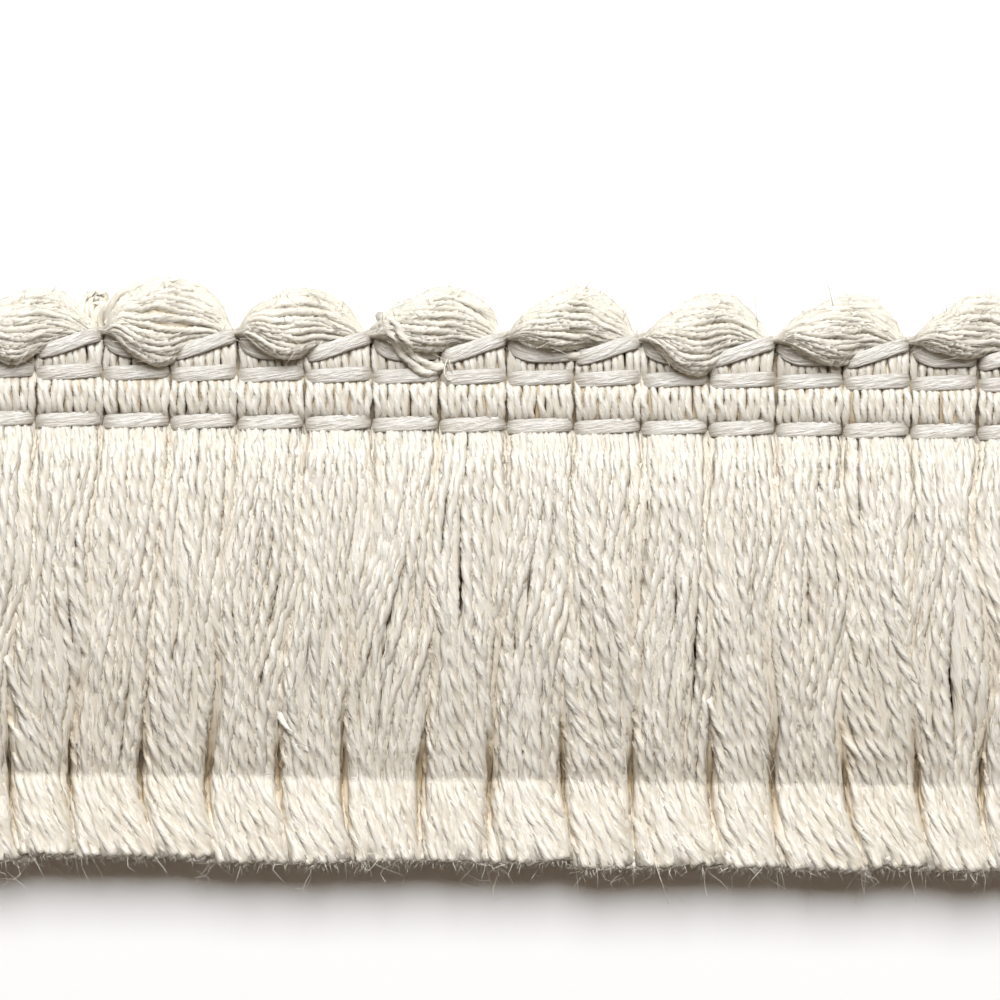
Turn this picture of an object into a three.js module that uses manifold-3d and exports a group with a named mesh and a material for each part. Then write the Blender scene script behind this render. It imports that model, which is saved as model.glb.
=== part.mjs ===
// A cut length of brush fringe trim, lying on its back: a narrow woven heading of weft bundles held by
// three rows of binding thread, a soft cord that scallops along the top edge, and a skirt of cut yarn.
// Millimetres. +X runs along the trim, +Y from the cut ends of the skirt to the scallops, +Z is up.
import * as THREE from "three";
import { mergeVertices } from "three/addons/utils/BufferGeometryUtils.js";
import Module from "manifold-3d";

const wasm = await Module();
wasm.setup();

// Driving dimensions. Heights along Y are measured from the cut ends.
const COLUMN_PITCH = 4.4;
const COLUMNS = 20;
const HALF_LENGTH = (COLUMNS * COLUMN_PITCH) / 2;
const PAIR_PITCH = 2 * COLUMN_PITCH;
const PIECE_GAP = 0.3;

const CREASE_Y = 5.4;
const SKIRT_ROOT_Y = 27.45;
const ROOT_STRIP_HEIGHT = 0.6;
const LOWER_ROW_Y = 28.22;
const MIDDLE_ROW_Y = 32.2;
const UPPER_ROW_Y = 33.2;
const UPPER_ROW_RISE = 0.75;

// The heading: heights above the surface that it lies on.
const BLOCK_CROWN = 2.9;
const SMALL_BLOCK_CROWN = 2.55;
const ROW_FLOOR = 1.75;
const COLUMN_FLOOR = 1.2;
const BLOCK_EDGE_RUN = 0.22;
const BLOCK_EDGE_Z = 2.55;
const BLOCK_SHOULDER_RUN = 0.95;
const SMALL_BLOCK_RISE = 0.4;
// How the crown runs across a column, from the gap at its left.
const COLUMN_PROFILE = [
  { across: 0, crown: 0 },
  { across: 0.09, crown: 0.94 },
  { across: 0.33, crown: 1 },
  { across: 0.67, crown: 1 },
  { across: 0.91, crown: 0.94 },
];

// The binding thread: a flat oval that floats over each column and dips between columns.
const THREAD_HALF_WIDTH = 0.36;
const THREAD_HALF_DEPTH = 0.27;
const THREAD_TOP_Z = 2.33;
const THREAD_DIP_Z = 1.8;
const FLOAT_SLANT = 0.1;
const FLOAT_END_SHARE = 0.16;
const THREAD_SIDES = 6;

// The scallop cord: in front of one column and behind the next, humped over each pair.
const CORD_NOTCH_Y = 34.9;
const CORD_TIP_DROP = 0.75;
const CORD_NOTCH_HALF_HEIGHT = 0.42;
const CORD_HUMP_HALF_HEIGHT = 1.79;
const CORD_NOTCH_HALF_DEPTH = 0.4;
const CORD_HUMP_HALF_DEPTH = 1.15;
const CORD_MID_Z = 2.15;
const CORD_WEAVE_Z = 1;
const CORD_SIDES = 10;
const CORD_STEPS_A_PAIR = 10;
const CORD_TWIST_RIDGE = 0.07;
const CORD_TWIST_PLIES = 5;
const CORD_TWIST_TURNS_A_PAIR = 2;
const CORD_UNEVEN = 0.05;

// The skirt: each column's bundle swells below the heading, is drawn in at the crease and flares again.
// Y is the station along the strands, depth the bundle's thickness there, width its share of the pitch,
// and lean the share that it has there of the crease's lean.
const BUNDLE_STATIONS = [
  { y: 27.2, depth: 2.1, width: 0.95, lean: 0 },
  { y: 23, depth: 4.0, width: 0.97, lean: 0.12 },
  { y: 15, depth: 4.6, width: 0.95, lean: 0.6 },
  { y: CREASE_Y, depth: 3.1, width: 0.84, lean: 1 },
  { y: 0, depth: 4.5, width: 0.97, lean: 1 },
];
// The layers of strands in a bundle, from the surface up: low and high are shares of its depth, and a
// hidden layer leaves out the station at the shoulder.
const LAYERS = [
  { strands: 4, low: 0, high: 0.3, stations: [0, 2, 3, 4] },
  { strands: 3, low: 0.34, high: 0.64, stations: [0, 2, 3, 4] },
  { strands: 5, low: 0.68, high: 1, stations: [0, 1, 2, 3, 4] },
];
const STRAND_FILL = 0.9;
const TIP_LEAN = 0.65;
const TIP_LEAN_SPREAD = 0.35;
const TIP_UNEVEN = 0.3;
const DEPTH_UNEVEN = 0.06;

// How far the drawn-in crease leans sideways from the heading, which changes along the trim.
const LEAN_MIDDLE = -0.72;
const LEAN_SWING = 1.07;
const LEAN_CENTRE_X = 1.3;
const LEAN_LENGTH = 8.5;

const COLOURS = {
  yarn: 0xe6dfcd,
  cord: 0xe9e3d2,
  binding: 0xcfc8bd,
};

// A repeatable value from -1 to 1 for each pair of whole numbers.
function uneven(item, trait) {
  const s = Math.sin(item * 12.9898 + trait * 78.233) * 43758.5453;
  return 2 * (s - Math.floor(s)) - 1;
}

// A closed solid through rings of points, whose end faces are triangulated as seen along the rings' axis.
function loft(rings, axis = "x") {
  const flatten = (p) => new THREE.Vector2(axis === "x" ? p.y : p.x, p.z);
  const positions = rings.flat().flatMap((p) => [p.x, p.y, p.z]);
  const around = rings[0].length;
  const index = [];
  for (let r = 0; r + 1 < rings.length; r++) {
    for (let i = 0; i < around; i++) {
      const a = r * around + i;
      const b = r * around + ((i + 1) % around);
      index.push(a, b, b + around, a, b + around, a + around);
    }
  }
  const last = (rings.length - 1) * around;
  for (const [i, j, k] of THREE.ShapeUtils.triangulateShape(rings[0].map(flatten), [])) {
    index.push(k, j, i);
  }
  for (const [i, j, k] of THREE.ShapeUtils.triangulateShape(rings.at(-1).map(flatten), [])) {
    index.push(last + i, last + j, last + k);
  }
  const geometry = new THREE.BufferGeometry();
  geometry.setAttribute("position", new THREE.Float32BufferAttribute(positions, 3));
  geometry.setIndex(index);
  return geometry;
}

// A closed geometry as a manifold-3d solid, turned to face outwards.
function toSolid(geometry) {
  const merged = mergeVertices(geometry, 1e-4);
  const vertProperties = merged.attributes.position.array;
  const triVerts = new Uint32Array(merged.index.array);
  const solid = new wasm.Manifold(new wasm.Mesh({ numProp: 3, vertProperties, triVerts }));
  if (solid.volume() > 0) return solid;
  for (let i = 0; i < triVerts.length; i += 3) {
    [triVerts[i + 1], triVerts[i + 2]] = [triVerts[i + 2], triVerts[i + 1]];
  }
  return new wasm.Manifold(new wasm.Mesh({ numProp: 3, vertProperties, triVerts }));
}

function toGeometry(solid) {
  const mesh = solid.getMesh();
  const positions = new Float32Array(mesh.numVert * 3);
  for (let v = 0; v < mesh.numVert; v++) {
    positions.set(mesh.vertProperties.subarray(v * mesh.numProp, v * mesh.numProp + 3), v * 3);
  }
  const geometry = new THREE.BufferGeometry();
  geometry.setAttribute("position", new THREE.BufferAttribute(positions, 3));
  geometry.setIndex(new THREE.BufferAttribute(mesh.triVerts, 1));
  geometry.computeVertexNormals();
  return geometry;
}

// Where x lies within its pair of columns, from 0 at one notch to 1 at the next.
function shareOfPair(x) {
  const pairs = (x + HALF_LENGTH) / PAIR_PITCH;
  return pairs - Math.floor(pairs);
}

// 1 at the notch between two scallops, 0 under the middle of a scallop.
function notchShare(x) {
  return Math.abs(2 * shareOfPair(x) - 1);
}

// The front of the heading up its height. Each section gives its height along Y under a scallop, the rise
// of that height at the notches, and its crown above the surface.
function headingSections() {
  const half = THREAD_HALF_WIDTH + FLOAT_SLANT;
  const blockLow = LOWER_ROW_Y + half;
  const blockHigh = MIDDLE_ROW_Y - half;
  return [
    { y: SKIRT_ROOT_Y + PIECE_GAP, rise: 0, z: ROW_FLOOR },
    { y: blockLow, rise: 0, z: ROW_FLOOR },
    { y: blockLow + BLOCK_EDGE_RUN, rise: 0, z: BLOCK_EDGE_Z },
    { y: blockLow + BLOCK_SHOULDER_RUN, rise: 0, z: BLOCK_CROWN },
    { y: blockHigh - BLOCK_SHOULDER_RUN, rise: 0, z: BLOCK_CROWN },
    { y: blockHigh - BLOCK_EDGE_RUN, rise: 0, z: BLOCK_EDGE_Z },
    { y: blockHigh, rise: 0, z: ROW_FLOOR },
    { y: MIDDLE_ROW_Y + half, rise: 0, z: ROW_FLOOR },
    { y: MIDDLE_ROW_Y + half, rise: SMALL_BLOCK_RISE, z: SMALL_BLOCK_CROWN },
    { y: UPPER_ROW_Y - half, rise: UPPER_ROW_RISE, z: ROW_FLOOR },
    { y: UPPER_ROW_Y + THREAD_HALF_WIDTH, rise: UPPER_ROW_RISE, z: ROW_FLOOR },
  ];
}

// One closed ring of the heading across its height: its flat back, then its front from top to bottom.
function headingRing(x, crown) {
  const front = headingSections().map(({ y, rise, z }) => {
    const height = crown > 0 ? z * crown : COLUMN_FLOOR;
    return new THREE.Vector3(x, y + rise * notchShare(x), height);
  });
  const back = [front.at(0), front.at(-1)].map((p) => p.clone().setZ(0));
  return [...back, ...front.reverse()];
}

function headingSolid() {
  const rings = [];
  for (let column = 0; column < COLUMNS; column++) {
    for (const { across, crown } of COLUMN_PROFILE) {
      rings.push(headingRing(-HALF_LENGTH + (column + across) * COLUMN_PITCH, crown));
    }
  }
  rings.push(headingRing(HALF_LENGTH, 0));
  return toSolid(loft(rings));
}

// The cord's oval section at x, with its twist raised as shallow ridges.
function cordRing(x) {
  const t = shareOfPair(x);
  const hump = Math.sin(Math.PI * t);
  const pair = Math.floor((x + HALF_LENGTH) / PAIR_PITCH);
  const swell = 1 + CORD_UNEVEN * uneven(pair, 3) * hump;
  const halfHeight =
    CORD_NOTCH_HALF_HEIGHT +
    (CORD_HUMP_HALF_HEIGHT * swell - CORD_NOTCH_HALF_HEIGHT) * hump ** 0.75;
  const halfDepth =
    CORD_NOTCH_HALF_DEPTH + (CORD_HUMP_HALF_DEPTH - CORD_NOTCH_HALF_DEPTH) * hump;
  const y = CORD_NOTCH_Y - CORD_TIP_DROP * hump + halfHeight;
  const z = CORD_MID_Z + CORD_WEAVE_Z * Math.sin(2 * Math.PI * t);
  const ring = [];
  for (let side = 0; side < CORD_SIDES; side++) {
    const angle = (2 * Math.PI * side) / CORD_SIDES;
    const turned = 2 * Math.PI * CORD_TWIST_TURNS_A_PAIR * t;
    const twist = Math.cos(CORD_TWIST_PLIES * angle + turned);
    const ridge = CORD_TWIST_RIDGE * twist * hump;
    ring.push(
      new THREE.Vector3(
        x,
        y + (halfHeight + ridge) * Math.cos(angle),
        z + (halfDepth + ridge) * Math.sin(angle),
      ),
    );
  }
  return ring;
}

function cordSolid() {
  const steps = (COLUMNS / 2) * CORD_STEPS_A_PAIR;
  const rings = [];
  for (let step = 0; step <= steps; step++) {
    rings.push(cordRing(-HALF_LENGTH + (step / steps) * 2 * HALF_LENGTH));
  }
  return toSolid(loft(rings));
}

// One row of binding thread. It dips between columns, and each float slants up to the right.
function bindingSolid(rowY, rise) {
  const rings = [];
  const shares = [0, FLOAT_END_SHARE, 1 - FLOAT_END_SHARE];
  for (let column = 0; column <= COLUMNS; column++) {
    for (const share of column < COLUMNS ? shares : [0]) {
      const x = -HALF_LENGTH + (column + share) * COLUMN_PITCH;
      const slant = share === 0 ? 0 : FLOAT_SLANT * (2 * share - 1);
      const y = rowY + rise * notchShare(x) + slant;
      const z = share === 0 ? THREAD_DIP_Z : THREAD_TOP_Z;
      const ring = [];
      for (let side = 0; side < THREAD_SIDES; side++) {
        const angle = (2 * Math.PI * (side + 0.5)) / THREAD_SIDES;
        ring.push(
          new THREE.Vector3(
            x,
            y + THREAD_HALF_WIDTH * Math.cos(angle),
            z + THREAD_HALF_DEPTH * Math.sin(angle),
          ),
        );
      }
      rings.push(ring);
    }
  }
  return toSolid(loft(rings));
}

function creaseLean(x) {
  return LEAN_MIDDLE + LEAN_SWING * Math.tanh((x - LEAN_CENTRE_X) / LEAN_LENGTH);
}

// Where the gap before a column has got to at a station.
function gapX(column, station) {
  const x = -HALF_LENGTH + column * COLUMN_PITCH;
  const tip = station.y === 0 ? TIP_LEAN + TIP_LEAN_SPREAD * uneven(column, 1) : 0;
  return x + station.lean * creaseLean(x) + tip;
}

// A point in one column's bundle: across runs from -1 to 1, up from 0 on the surface to 1 on top.
function bundlePoint(column, station, across, up) {
  const left = gapX(column, station);
  const right = gapX(column + 1, station);
  const x = (left + right) / 2 + (across * station.width * (right - left)) / 2;
  const depth = station.depth * (1 + DEPTH_UNEVEN * uneven(column, 2));
  return new THREE.Vector3(x, station.y, up * depth);
}

// One three-sided strand: a level base and a ridge along the top.
function strandSolid(column, layer, place, item) {
  const cell = 2 / layer.strands;
  const left = -1 + place * cell + (cell * (1 - STRAND_FILL)) / 2;
  const right = left + cell * STRAND_FILL;
  const rings = layer.stations.map((which) => {
    const station = BUNDLE_STATIONS[which];
    const cut = station.y === 0 ? TIP_UNEVEN * (1 + uneven(item, 4)) : 0;
    const corners = [
      bundlePoint(column, station, left, layer.low),
      bundlePoint(column, station, right, layer.low),
      bundlePoint(column, station, (left + right) / 2, layer.high),
    ];
    return corners.map((p) => p.setY(p.y + cut));
  });
  return toSolid(loft(rings, "y"));
}

// The skirt: every column's strands, fused at their roots into one narrow strip.
function skirtSolid() {
  const root = BUNDLE_STATIONS[0];
  const strip = new THREE.BoxGeometry(2 * HALF_LENGTH, ROOT_STRIP_HEIGHT, root.depth);
  strip.deleteAttribute("normal");
  strip.deleteAttribute("uv");
  strip.translate(0, SKIRT_ROOT_Y - ROOT_STRIP_HEIGHT / 2, root.depth / 2);
  const solids = [toSolid(strip)];
  let item = 0;
  for (let column = 0; column < COLUMNS; column++) {
    for (const layer of LAYERS) {
      for (let place = 0; place < layer.strands; place++) {
        solids.push(strandSolid(column, layer, place, item));
        item += 1;
      }
    }
  }
  return wasm.Manifold.union(solids);
}

function addNode(group, name, solid, colour, roughness) {
  const material = new THREE.MeshStandardMaterial({ color: colour, roughness, metalness: 0 });
  const mesh = new THREE.Mesh(toGeometry(solid), material);
  mesh.name = name;
  group.add(mesh);
}

const trim = new THREE.Group();
addNode(trim, "heading", headingSolid(), COLOURS.yarn, 0.6);
const rows = {
  lower_binding: bindingSolid(LOWER_ROW_Y, 0),
  middle_binding: bindingSolid(MIDDLE_ROW_Y, 0),
  upper_binding: bindingSolid(UPPER_ROW_Y, UPPER_ROW_RISE),
};
for (const [name, solid] of Object.entries(rows)) {
  addNode(trim, name, solid, COLOURS.binding, 0.45);
}
addNode(trim, "scallop_cord", cordSolid(), COLOURS.cord, 0.7);
addNode(trim, "skirt", skirtSolid(), COLOURS.yarn, 0.55);

// The origin is on the surface, under the middle of the whole trim.
const extent = new THREE.Box3().setFromObject(trim);
const middle = extent.getCenter(new THREE.Vector3());
trim.position.set(-middle.x, -middle.y, -extent.min.z);

const part = new THREE.Group();
part.add(trim);
export default part;
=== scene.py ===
"""Brush fringe trim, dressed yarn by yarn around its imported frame.

The trim lies on its back. +X runs along it, +Y from the cut ends of the skirt to the scallops, and +Z
is up through its face. Sizes are in millimetres, and heights along Y are measured from the cut ends,
until a mesh is written in the frame's metres.
"""

from __future__ import annotations

import logging
import math
from dataclasses import dataclass, field
from enum import Enum
from typing import Sequence

import bmesh
import bpy
import numpy as np
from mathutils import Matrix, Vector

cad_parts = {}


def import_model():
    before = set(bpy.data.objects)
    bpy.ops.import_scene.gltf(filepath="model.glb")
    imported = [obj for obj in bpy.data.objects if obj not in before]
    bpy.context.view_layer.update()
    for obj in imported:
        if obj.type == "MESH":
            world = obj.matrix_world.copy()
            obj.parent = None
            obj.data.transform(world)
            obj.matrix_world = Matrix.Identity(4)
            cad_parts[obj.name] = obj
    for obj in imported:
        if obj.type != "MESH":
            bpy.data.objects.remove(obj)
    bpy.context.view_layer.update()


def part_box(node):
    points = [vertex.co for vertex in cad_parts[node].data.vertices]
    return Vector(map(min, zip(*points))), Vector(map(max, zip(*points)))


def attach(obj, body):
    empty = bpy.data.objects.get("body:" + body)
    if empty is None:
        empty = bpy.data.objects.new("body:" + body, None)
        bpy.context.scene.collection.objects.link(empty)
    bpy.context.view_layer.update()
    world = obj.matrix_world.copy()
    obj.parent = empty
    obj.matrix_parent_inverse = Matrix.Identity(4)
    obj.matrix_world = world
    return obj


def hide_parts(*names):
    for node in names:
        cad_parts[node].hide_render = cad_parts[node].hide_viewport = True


MM = 0.001
TURN = 2 * math.pi
BODY = "root"

Keys = Sequence[tuple[float, float]]

log = logging.getLogger("brush_fringe")


class Slot(Enum):
    """The record's material slots."""

    YARN = "yarn"
    CORD = "cord"
    BINDING = "binding"


class Side(Enum):
    """The two faces of the heading, each with the sign that it has along Z."""

    FRONT = 1
    BACK = -1


def eased(keys: Keys, at: np.ndarray) -> np.ndarray:
    """Reads a smooth curve that goes through every key and never swings past one.

    Args:
        keys: Pairs of position and value, with the positions rising.
        at: The positions to read.

    Returns:
        The curve's values there.
    """
    x, value = np.array(keys, float).T
    step = np.diff(x)
    rate = np.diff(value) / step
    slope = np.concatenate([rate[:1], np.zeros(len(x) - 2), rate[-1:]])
    for i in range(1, len(x) - 1):
        if rate[i - 1] * rate[i] > 0:
            slope[i] = 2 * rate[i - 1] * rate[i] / (rate[i - 1] + rate[i])
    i = np.clip(np.searchsorted(x, at) - 1, 0, len(step) - 1)
    t = np.clip((at - x[i]) / step[i], 0, 1)
    rise = t * t * (3 - 2 * t)
    lead = t * (1 - t) ** 2 * step[i] * slope[i]
    trail = t * t * (t - 1) * step[i] * slope[i + 1]
    return value[i] + (value[i + 1] - value[i]) * rise + lead + trail


def wander(rng: np.random.Generator, at: np.ndarray, count: int, length: float) -> np.ndarray:
    """Draws smooth wavering lines, each within about -1 to 1.

    Args:
        rng: The seeded source.
        at: The positions along the lines, in millimetres.
        count: How many lines.
        length: The length of the longer waves, in millimetres.

    Returns:
        One row for each line.
    """
    total = np.zeros((count, len(at)))
    for share, waves in ((0.6, 1.0), (0.3, 1.9), (0.15, 3.7)):
        phase = rng.uniform(0, TURN, (count, 1))
        stretch = rng.uniform(0.8, 1.25, (count, 1))
        total += share * np.sin(TURN * waves * stretch * at[None, :] / length + phase)
    return total


def spaced(rng: np.random.Generator, count: int, jitter: float) -> np.ndarray:
    """Spaces places evenly from -1 to 1, each moved by up to a share of the space between them."""
    place = (np.arange(count) + 0.5) / count * 2 - 1
    return place + rng.uniform(-jitter, jitter, count) * 2 / count


@dataclass(frozen=True)
class Drift:
    """A wavering of the whole sheet of yarn, which moves yarns that lie side by side alike."""

    across: np.ndarray
    down: np.ndarray
    phase: np.ndarray

    @classmethod
    def drawn(
        cls, rng: np.random.Generator, width: tuple[float, float], fall: tuple[float, float]
    ) -> "Drift":
        """Draws the waves.

        Args:
            rng: The seeded source.
            width: The shortest and longest wave along X.
            fall: The shortest and longest wave along Y.

        Returns:
            The new drift.
        """
        count = 6
        across = TURN / rng.uniform(*width, count)
        down = TURN / rng.uniform(*fall, count) * rng.choice([-1, 1], count)
        return cls(across, down, rng.uniform(0, TURN, count))

    def at(self, x: np.ndarray, y: np.ndarray) -> np.ndarray:
        """The drift at each place, mostly within -1 to 1."""
        x, y = np.broadcast_arrays(x, y)
        waves = zip(self.across, self.down, self.phase)
        total = sum(np.sin(across * x + down * y + phase) for across, down, phase in waves)
        return total / math.sqrt(len(self.phase))


@dataclass(frozen=True)
class Layout:
    """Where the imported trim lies, in millimetres of its frame."""

    middle_x: float
    cut_y: float
    pitch: float
    columns: int = 20
    heading_foot: float = 27.75

    @classmethod
    def from_frame(cls) -> "Layout":
        """Reads the columns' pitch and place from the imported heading."""
        low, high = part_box("heading")
        return cls(
            middle_x=(low.x + high.x) / 2 / MM,
            cut_y=low.y / MM - cls.heading_foot,
            pitch=(high.x - low.x) / MM / cls.columns,
        )

    @property
    def half_length(self) -> float:
        """Half the length of the heading."""
        return self.columns * self.pitch / 2

    def edge_x(self, edge: np.ndarray | float) -> np.ndarray | float:
        """The X of the gap before a column, at the heading."""
        return edge * self.pitch - self.half_length

    def pair_share(self, x: np.ndarray) -> tuple[np.ndarray, np.ndarray]:
        """Which pair of columns each X is in, and how far it is across that pair, from 0 to 1."""
        pairs = (x + self.half_length) / (2 * self.pitch)
        number = np.clip(np.floor(pairs), 0, self.columns // 2 - 1)
        return number.astype(int), pairs - number

    def metres(self, points: np.ndarray) -> np.ndarray:
        """Turns points from the trim's millimetres to the frame's metres."""
        return (points + np.array([self.middle_x, self.cut_y, 0])) * MM


@dataclass(frozen=True)
class Photo:
    """How the square photograph lies over the trim: its width and middle in millimetres, and its tilt."""

    pixels: int = 1000
    width: float = 65.6
    middle_x: float = -0.33
    middle_y: float = 23.7
    tilt: float = 0.75

    def route(self, *picked: tuple[int, int]) -> tuple[tuple[float, float], ...]:
        """Turns pixels on the photograph into places on the trim, to a hundredth of a millimetre."""
        turn, scale = math.radians(self.tilt), self.width / self.pixels
        places = []
        for column, row in picked:
            right, up = (column - self.pixels / 2) * scale, (self.pixels / 2 - row) * scale
            x = self.middle_x + right * math.cos(turn) - up * math.sin(turn)
            y = self.middle_y + right * math.sin(turn) + up * math.cos(turn)
            places.append((round(x, 2), round(y, 2)))
        return tuple(places)


PHOTO = Photo()


@dataclass(frozen=True)
class YarnShape:
    """A straight yarn of unit radius, which every strand is a bent copy of."""

    sides: int
    steps: int
    plies: int = 2
    groove: float = 0.6

    def template(self) -> bpy.types.Mesh:
        """Models the straight yarn, with U around it and V along it."""
        shape = bmesh.new()
        bmesh.ops.create_cone(
            shape, cap_ends=True, segments=self.sides, radius1=1, radius2=1, depth=1
        )
        lengthwise = [e for e in shape.edges if abs(e.verts[0].co.z - e.verts[1].co.z) > 0.5]
        bmesh.ops.subdivide_edges(
            shape, edges=lengthwise, cuts=self.steps - 1, use_grid_fill=True
        )
        unwrap = shape.loops.layers.uv.new("yarn")
        for face in shape.faces:
            face.smooth = abs(face.normal.z) < 0.5
            around = [math.atan2(l.vert.co.y, l.vert.co.x) / TURN for l in face.loops]
            wraps = face.smooth and max(around) - min(around) > 0.5
            for loop, share in zip(face.loops, around):
                share = share + 1 if wraps and share < 0 else share
                loop[unwrap].uv = (share, loop.vert.co.z + 0.5)
        mesh = bpy.data.meshes.new("yarn_template")
        shape.to_mesh(mesh)
        shape.free()
        return mesh

    def section(self, angle: np.ndarray) -> np.ndarray:
        """The radius at an angle round the section, whose plies are overlapping circles."""
        if self.plies < 2:
            return np.ones_like(angle)
        half = self.plies * angle / 2
        ply = (1 + self.groove**2) / 2
        offset = 1 - ply
        return offset * np.abs(np.sin(half)) + np.sqrt(ply**2 - (offset * np.cos(half)) ** 2)


# How much painted shade colour the grooves between plies and a yarn's underside take.
GROOVE_SHADE = 0.3
UNDERSIDE_SHADE = 0.95
# The rise of a surface from which it starts to take painted shade as an underside, and the change over which
# it does.
UNDERSIDE_FROM = 0.4
UNDERSIDE_OVER = 1.4
# The rings that a yarn needs for each turn of its plies. Where it has fewer, it is twisted less.
RINGS_A_TURN = 6.5


@dataclass
class Strands:
    """The centre lines of a lot of yarns of one shape, ring by ring."""

    shape: YarnShape
    points: np.ndarray
    radius: np.ndarray
    turn: np.ndarray
    sideways: tuple[float, float, float] = (1, 0, 0)
    flatness: float = 1.0
    painted_shade: np.ndarray | float = 0.0

    def straight(self, template: bpy.types.Mesh) -> tuple[np.ndarray, np.ndarray]:
        """Which ring each vertex of the template is in, and at what angle it is round the yarn."""
        places = np.empty(len(template.vertices) * 3)
        template.vertices.foreach_get("co", places)
        places = places.reshape(-1, 3)
        ring = np.rint((places[:, 2] + 0.5) * self.shape.steps).astype(int)
        return ring, np.arctan2(places[:, 1], places[:, 0])

    def frame(self) -> tuple[np.ndarray, np.ndarray]:
        """The two directions square to each centre line, ring by ring."""
        along = np.gradient(self.points, axis=1)
        along /= np.linalg.norm(along, axis=2, keepdims=True)
        side = np.array(self.sideways, float)
        across = side - (along @ side)[..., None] * along
        across /= np.linalg.norm(across, axis=2, keepdims=True)
        return across, np.cross(along, across)

    def surface(self, template: bpy.types.Mesh) -> np.ndarray:
        """Bends a copy of the template along each centre line.

        Args:
            template: The straight yarn.

        Returns:
            The vertices of every copy, in millimetres.
        """
        ring, angle = self.straight(template)
        across, outward = self.frame()
        turned = angle[None, :] - self.turn[:, ring]
        size = self.radius[:, ring] * self.shape.section(angle)[None, :]
        out_wide = (size * np.cos(turned))[..., None] * across[:, ring]
        out_deep = (size * np.sin(turned) * self.flatness)[..., None] * outward[:, ring]
        return self.points[:, ring] + out_wide + out_deep

    def shade(self, template: bpy.types.Mesh) -> np.ndarray:
        """How much painted shade each vertex takes: in the grooves between plies, down among other yarns, and
        on a yarn's underside, where it faces down.
        """
        ring, angle = self.straight(template)
        across, outward = self.frame()
        turned = angle[None, :] - self.turn[:, ring]
        rise = np.cos(turned) * across[:, ring, 2] + np.sin(turned) * outward[:, ring, 2]
        beneath = np.clip((UNDERSIDE_FROM - rise) / UNDERSIDE_OVER, 0, 1)
        painted_shade = np.broadcast_to(self.painted_shade, self.radius.shape)[:, ring] + UNDERSIDE_SHADE * beneath
        if self.shape.plies < 2:
            return painted_shade
        depth = (1 - self.shape.section(angle)) / (1 - self.shape.groove)
        return painted_shade + GROOVE_SHADE * depth[None, :] ** 2


def lay_strands(
    name: str, lots: Sequence[Strands], layout: Layout, seed: int
) -> bpy.types.Object:
    """Makes one piece of several lots of strands.

    Args:
        name: The piece's name.
        lots: The lots of strands.
        layout: Where the trim lies.
        seed: The seed for each yarn's tone and for the place of its fibres.

    Returns:
        The new piece, whose mesh holds its place.
    """
    rng = np.random.default_rng(seed)
    gathered = bmesh.new()
    places, tones, shades, sizes = [], [], [], []
    for lot in lots:
        template = lot.shape.template()
        count = len(lot.points)
        for _ in range(count):
            gathered.from_mesh(template)
        places.append(lot.surface(template).reshape(-1, 3))
        shades.append(lot.shade(template).ravel())
        tones.append(np.repeat(rng.uniform(-1, 1, count), len(template.vertices)))
        length = np.linalg.norm(np.diff(lot.points, axis=1), axis=2).sum(axis=1)
        girth = TURN * lot.radius.mean(axis=1)
        offset = rng.uniform(0, 100, (count, 2))
        size = np.stack([girth, length, offset[:, 0], offset[:, 1]], axis=1)
        sizes.append(np.repeat(size, len(template.loops), axis=0))
        bpy.data.meshes.remove(template)
    mesh = bpy.data.meshes.new(name)
    gathered.to_mesh(mesh)
    gathered.free()
    mesh.vertices.foreach_set("co", layout.metres(np.concatenate(places)).ravel())
    # The painted shade amount goes into its own attribute, beside each yarn's random tone.
    for attribute, values in (("tone", tones), ("painted_shade", shades)):
        layer = mesh.attributes.new(attribute, "FLOAT", "POINT")
        layer.data.foreach_set("value", np.concatenate(values).astype(np.float32))
    unwrap = np.empty(len(mesh.loops) * 2, np.float32)
    mesh.uv_layers["yarn"].data.foreach_get("uv", unwrap)
    size = np.concatenate(sizes)
    unwrap = unwrap.reshape(-1, 2) * size[:, :2] + size[:, 2:]
    mesh.uv_layers["yarn"].data.foreach_set("uv", unwrap.astype(np.float32).ravel())
    mesh.update()
    piece = bpy.data.objects.new(name, mesh)
    bpy.context.scene.collection.objects.link(piece)
    return piece


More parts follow.
